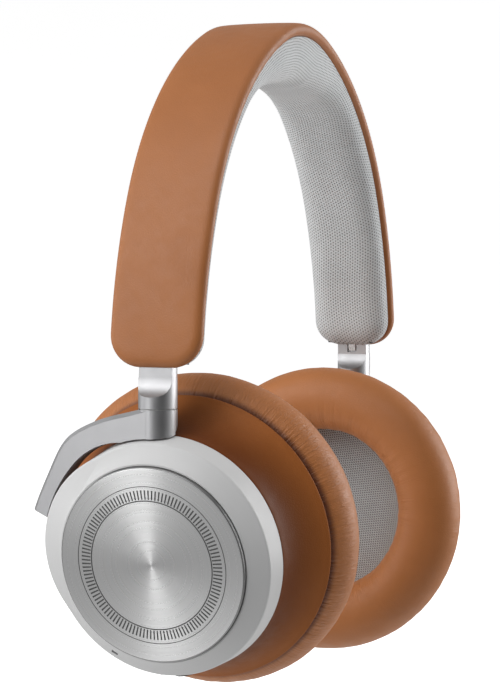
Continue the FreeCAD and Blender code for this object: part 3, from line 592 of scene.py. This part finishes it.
def disc_mesh(name):
    radii = [0.6, 3, 6, 9, 12, 15, 17, 18.3, 18.6, 18.63, 18.91, 18.94, 19.12, 19.16, 20.5, 21.84, 21.88,
             22.3, 22.83, 22.87, 23.01, 23.05, 24, 25.5, 27, 28.0]
    parts = [0.0, 0.30, 0.34, 0.66, 0.70]
    turns = []
    for step in range(TICK_COUNT):
        turns += [2 * math.pi * (step + part) / TICK_COUNT for part in parts]
    columns = len(turns)
    points = []
    for radius in radii:
        for index, turn in enumerate(turns):
            depth = disc_level(radius, index % 5 in (2, 3))
            points.append((radius * math.cos(turn), radius * math.sin(turn), -depth))
    for radius, depth in ((28.12, 0.01), (28.3, 0.07), (28.42, 0.2), (28.5, 0.42), (28.5, 2.2), (27.0, 2.2)):
        for turn in turns:
            points.append((radius * math.cos(turn), radius * math.sin(turn), -depth))
    rows = len(points) // columns
    faces = tube_faces(rows, columns)
    centre = len(points)
    points.append((0, 0, 0))
    faces += [(centre, (j + 1) % columns, j) for j in range(columns)]
    thing = mesh_object(name, points, faces)
    data = thing.data
    data.materials.append(SPUN)
    data.materials.append(ENGRAVED)
    data.materials.append(SHADED_DISC_SIDE)
    for face in data.polygons:
        levels = [data.vertices[v].co.z for v in face.vertices]
        reach = data.vertices[face.vertices[0]].co.to_2d().length / MM
        if reach < 24 and min(levels) < -0.1 * MM:
            face.material_index = 1
        # the disc's side wall takes the dark metal as painted shadow
        elif max(levels) < -0.005 * MM and reach > 28:
            face.material_index = 2
    outward(thing)
    return smooth_by_angle(thing, 25)


def build_disc(side):
    disc = disc_mesh(f"disc_face_{side}")
    matrix = cup_matrix(side)
    if side == "L":
        swap = Matrix(((0, 1, 0, 0), (1, 0, 0, 0), (0, 0, 1, 0), (0, 0, 0, 1)))
        matrix = matrix @ swap
    disc.matrix_world = matrix
    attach(disc, f"{SIDES[side]}_cup")
    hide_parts(f"touch_disc_{side}")


# ---- cushion -------------------------------------------------------------------------------------------------
FRONT_PROFILE = (
    (39.8, 31.3), (41.9, 31.2), (43.8, 32.1), (45.5, 34.2), (46.5, 37.2), (46.8, 40.2), (46.3, 43.2),
    (44.9, 45.9), (42.7, 48.0), (39.8, 49.2), (36.5, 49.3), (33.2, 48.9), (30.2, 47.6), (27.9, 45.6),
    (26.5, 43.0), (26.2, 40.0), (26.6, 36.6), (27.1, 33.4), (27.4, 30.2), (27.5, 27.9),
)
BACK_PROFILE = (
    (33.8, 13.7), (34.5, 13.9), (34.75, 15.0), (35.0, 17.0), (35.6, 19.4), (36.6, 21.9), (38.0, 24.4),
    (39.7, 26.8), (41.4, 28.7), (42.4, 29.6), (42.75, 30.05), (42.5, 30.5), (41.5, 30.75), (40.2, 30.7),
)
FRONT_COUNT = 150                    # points round the front, which is simulated as cloth
SEAM_SHADE_END = 32.6                     # depth at which the painted shadow at the seam ends
SEAM_SHADE_FADE = 0.9
BACK_SHADE_MOST = 0.85                     # how dark the painted shade on the back panel is beside the housing
BACK_SHADE_RADIUS = 41.5
BACK_SHADE_FADE = 6.5
CLOTH_STEPS = 20
CLOTH_MOVE_CAP = 0.0016              # metres that the cloth may move from its profile


def smooth_profile(points, per_span):
    """Extra points along a Catmull-Rom curve through a profile."""
    out = []
    count = len(points)
    for index in range(count - 1):
        p0 = Vector(points[max(index - 1, 0)])
        p1 = Vector(points[index])
        p2 = Vector(points[index + 1])
        p3 = Vector(points[min(index + 2, count - 1)])
        for step in range(per_span):
            t = step / per_span
            out.append(0.5 * (2 * p1 + (p2 - p0) * t + (2 * p0 - 5 * p1 + 4 * p2 - p3) * t * t
                              + (3 * p1 - p0 - 3 * p2 + p3) * t ** 3))
    out.append(Vector(points[-1]))
    return out


def inflate(thing, pinned, cap):
    """Blow the piece up as cloth under pressure, with some points pinned, and keep the result."""
    rest = [v.co.copy() for v in thing.data.vertices]
    group = thing.vertex_groups.new(name="pinned")
    group.add(pinned, 1.0, "REPLACE")
    cloth = thing.modifiers.new("inflate", "CLOTH")
    settings = cloth.settings
    settings.quality = 6
    settings.mass = 0.0005
    settings.tension_stiffness = 12
    settings.compression_stiffness = 10
    settings.bending_stiffness = 0.2
    settings.shrink_min = -0.008
    settings.use_pressure = True
    settings.uniform_pressure_force = 4000.0
    settings.effector_weights.gravity = 0.0
    settings.vertex_group_mass = "pinned"
    cloth.collision_settings.use_collision = False
    scene = bpy.context.scene
    for step in range(1, CLOTH_STEPS + 1):
        scene.frame_set(step)
    apply_modifiers(thing)
    scene.frame_set(1)
    for vertex, start in zip(thing.data.vertices, rest):
        move = vertex.co - start
        if move.length > cap:
            vertex.co = start + move * (cap / move.length)
    thing.vertex_groups.clear()
    return thing


def crease(turn, reach, seed):
    """Height of the broad folds that run across the leather."""
    x = math.cos(turn) * 16.0
    y = math.sin(turn) * 16.0
    return noise.noise(Vector((x, y, seed + reach * 0.08)))


def wrinkle(thing, seed):
    """Folds at the seam and round the mouth of a cushion in the cup's frame, with painted shade at the seam."""
    normals = [v.normal.copy() for v in thing.data.vertices]
    across = []
    masks = []
    seam_shades = []
    for vertex, normal in zip(thing.data.vertices, normals):
        x, y, z = (c / MM for c in vertex.co)
        radius = math.hypot(x, y)
        depth = -z
        turn = math.atan2(y, x)
        gather = math.exp(-((depth - 33.0) / 8.0) ** 2) if radius > 38 else 0.0
        mouth = math.exp(-((radius - 29.0) / 5.0) ** 2) if depth > 36 else 0.0
        across += [math.cos(turn), math.sin(turn), depth * 0.0035 + seed]
        masks.append(min(0.12 + gather + 0.8 * mouth, 1.0))
        # painted shade along the seam, where the crease falls in shadow
        seam_shades.append(min(max((SEAM_SHADE_END - depth) / SEAM_SHADE_FADE, 0.0), 1.0) if radius > 38 else 0.0)
        height = (0.16 * gather + 0.20 * mouth) * crease(turn, depth, seed)
        height += 0.10 * noise.noise(Vector((x * 0.11, y * 0.11, depth * 0.11 + seed)))
        vertex.co += normal * height * MM
    thing.data.attributes.new("fold", "FLOAT_VECTOR", "POINT").data.foreach_set("vector", across)
    thing.data.attributes.new("gather", "FLOAT", "POINT").data.foreach_set("value", masks)
    thing.data.attributes.new("painted_shade", "FLOAT", "POINT").data.foreach_set("value", seam_shades)
    return thing


def painted_shade(thing):
    """Mark painted shade on the back panel, darkest beside the housing."""
    back_shades = []
    for vertex in thing.data.vertices:
        radius = vertex.co.to_2d().length / MM
        back_shades.append(BACK_SHADE_MOST * min(max((BACK_SHADE_RADIUS - radius) / BACK_SHADE_FADE, 0.0), 1.0))
    thing.data.attributes.new("painted_shade", "FLOAT", "POINT").data.foreach_set("value", back_shades)


def subdivide(thing, levels):
    modifier = thing.modifiers.new("fine", "SUBSURF")
    modifier.levels = levels
    modifier.render_levels = levels
    return apply_modifiers(thing)


def cushion_front(name):
    """Padded ring in front of the seam."""
    thing = outward(round_mesh(name, FRONT_PROFILE, FRONT_COUNT))
    total = len(FRONT_PROFILE) * FRONT_COUNT
    pinned = list(range(2 * FRONT_COUNT)) + list(range(total - 4 * FRONT_COUNT, total))
    inflate(thing, pinned, CLOTH_MOVE_CAP)
    subdivide(thing, 2)
    return thing


def cushion_back(name):
    """Leather panel from the housing out to the seam."""
    profile = [(p.x, p.y) for p in smooth_profile(BACK_PROFILE, 3)]
    return outward(round_mesh(name, profile, 256))


def build_cushions():
    front = cushion_front("cushion_front")
    back = cushion_back("cushion_back")
    for seed, side in ((3.0, "R"), (17.0, "L")):
        for source, label in ((front, "front"), (back, "back")):
            piece = add_object(f"cushion_{label}_{side}", source.data.copy())
            if label == "front":
                wrinkle(piece, seed)
            else:
                # painted shade on the back panel, darkest beside the housing
                painted_shade(piece)
            seat(piece, side)
            # brighter copy as painted light on the front, darker copy as painted shade on the back
            paint(piece, GATHERED_LIT_TAN if label == "front" else SHADED_COPY_TAN)
            smooth_by_angle(piece, 60)
            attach(piece, f"{SIDES[side]}_cup")
            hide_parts(f"ear_cushion_{side}")
    for source in (front, back):
        bpy.data.objects.remove(source)


# ---- acoustic cloth ---------------------------------------------------------------------------------------------
def build_ear_cloth(side):
    """Woven cloth stretched over the driver, slightly domed towards the ear."""
    points = []
    uvs = []
    count = 96
    rings = 14
    for index in range(rings):
        radius = EAR_RADIUS * (index + 0.5) / (rings - 0.5)
        dome = 1.1 * (1 - (radius / EAR_RADIUS) ** 2)
        for step in range(count):
            turn = 2 * math.pi * step / count
            x, y = radius * math.cos(turn), radius * math.sin(turn)
            points.append((x, y, -CLOTH_DEPTH - dome))
            uvs.append((0.7 * x + 0.7 * y, 0.7 * y - 0.7 * x))
    faces = tube_faces(rings, count)
    faces.append(tuple(range(count)))
    cloth = mesh_object(f"ear_cloth_weave_{side}", points, faces, uvs)
    outward(cloth)
    seat(cloth, side)
    paint(cloth, CLOTH)
    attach(cloth, f"{SIDES[side]}_cup")
    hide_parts(f"ear_cloth_{side}")


# ==== stage, metres ======================================================================================
WORLD_TONES = ((0.1, 0.95), (0.22, 0.70), (0.34, 0.30), (0.5, 0.36), (0.75, 0.30))
UNLIT_SIDE = (-0.66, -0.75, 0.0)
FLOOR_DROP = 0.026                   # clears the cups, which hang about 24 mm lower with the sliders out
FLOOR_GLOW = 0.78
MIDDLE = (0, 0, -0.09)
CAMERA_TARGET = (13.913, 11.298, -84.752)    # millimetres
CAMERA_AZIMUTH = -67.0               # degrees
CAMERA_ELEVATION = 2.726
CAMERA_ROLL = 0.075
CAMERA_DISTANCE = 0.74587
LIGHTS = (
    ("key", (-1.0, 0.62, 0.42), (0.55, 1.3), 7.5),
    ("back", (-0.3, 1.15, 0.25), (0.6, 1.0), 3.5),
    ("front", (0.1, -1.25, 0.2), (0.5, 0.9), 0.9),
    ("rim", (0.85, -0.85, 0.15), (0.7, 1.0), 11.0),
    ("top", (-0.75, 0.0, 1.1), (0.8, 0.8), 6.0),
)


def aim(thing, target):
    direction = Vector(target) - thing.location
    thing.rotation_mode = "QUATERNION"
    thing.rotation_quaternion = direction.to_track_quat("-Z", "Y")


def area_light(name, place, target, size, power):
    data = bpy.data.lights.new(name, "AREA")
    data.shape = "RECTANGLE"
    data.size, data.size_y = size
    data.energy = power
    lamp = add_object(name, data)
    lamp.location = place
    aim(lamp, target)
    return lamp


def build_floor(height):
    """Round studio floor that curves up into a wall, so that no horizon shows."""
    profile = [(0.02, 0.0), (0.3, 0.0), (0.7, 0.0), (1.2, 0.0), (1.7, 0.0), (2.1, 0.0), (2.2, 0.0)]
    for step in range(1, 13):
        turn = math.radians(7.5 * step)
        profile.append((2.2 + 1.4 * math.sin(turn), 1.4 - 1.4 * math.cos(turn)))
    profile.append((3.6, 2.2))
    points = []
    count = 64
    for radius, rise in profile:
        for step in range(count):
            turn = 2 * math.pi * step / count
            points.append((radius * math.cos(turn), radius * math.sin(turn), height + rise))
    faces = tube_faces(len(profile), count)
    faces.append(tuple(range(count)))
    floor = mesh_object("floor", points, faces, scale=1.0)
    f = Finish("floor")
    tone = f.ramp(f.noise(3.0), ((0.3, (0.80, 0.80, 0.80)), (0.7, (0.82, 0.82, 0.82))))
    f.set(Base_Color=tone, Roughness=0.9)
    f.set(Emission_Color=(1, 1, 1, 1), Emission_Strength=FLOOR_GLOW)
    paint(floor, f.material)
    outward(floor)
    floor.visible_diffuse = False
    floor.visible_glossy = False


def build_world():
    """Studio surroundings: light from the floor, dimmer overhead, with one unlit side."""
    world = bpy.data.worlds.new("studio")
    bpy.context.scene.world = world
    world.use_nodes = True
    tree = world.node_tree

    def add(kind, **settings):
        node = tree.nodes.new("ShaderNode" + kind)
        for key, value in settings.items():
            setattr(node, key, value)
        return node

    place = add("TexCoord").outputs["Generated"]
    split = add("SeparateXYZ")
    tree.links.new(place, split.inputs[0])
    span = add("MapRange")
    span.inputs["From Min"].default_value = -1.0
    tree.links.new(split.outputs[2], span.inputs["Value"])
    ramp = add("ValToRGB")
    tree.links.new(span.outputs[0], ramp.inputs[0])
    band = ramp.color_ramp
    while len(band.elements) < len(WORLD_TONES):
        band.elements.new(0.5)
    for element, (position, tone) in zip(band.elements, WORLD_TONES):
        element.position = position
        element.color = (tone, tone, tone, 1)
    facing = add("VectorMath", operation="DOT_PRODUCT")
    tree.links.new(place, facing.inputs[0])
    facing.inputs[1].default_value = UNLIT_SIDE
    shade = add("MapRange", interpolation_type="SMOOTHSTEP")
    tree.links.new(facing.outputs["Value"], shade.inputs["Value"])
    for socket, value in (("From Min", 0.35), ("From Max", 0.95), ("To Min", 1.0), ("To Max", 0.25)):
        shade.inputs[socket].default_value = value
    background = tree.nodes["Background"]
    tree.links.new(ramp.outputs[0], background.inputs["Color"])
    tree.links.new(shade.outputs[0], background.inputs["Strength"])


def build_camera():
    azimuth = math.radians(CAMERA_AZIMUTH)
    elevation = math.radians(CAMERA_ELEVATION)
    back = Vector((
        math.sin(azimuth) * math.cos(elevation),
        -math.cos(azimuth) * math.cos(elevation),
        math.sin(elevation),
    ))
    data = bpy.data.cameras.new("camera")
    data.lens = 118.8
    data.sensor_width = 36.0
    camera = add_object("camera", data)
    camera.location = Vector(CAMERA_TARGET) * MM + back * CAMERA_DISTANCE
    camera.rotation_mode = "QUATERNION"
    roll = Matrix.Rotation(math.radians(CAMERA_ROLL), 4, "Z").to_quaternion()
    camera.rotation_quaternion = (-back).to_track_quat("-Z", "Y") @ roll
    bpy.context.scene.camera = camera


def build_stage():
    build_floor(CAD_BOX[0].z - FLOOR_DROP)
    build_world()
    for name, place, size, power in LIGHTS:
        area_light(name, place, MIDDLE, size, power)
    bpy.context.scene.view_settings.view_transform = "Standard"


build_camera()
build_headband()
for cup_side in SIDES:
    build_disc(cup_side)
    build_ear_cloth(cup_side)
build_cushions()
build_stage()
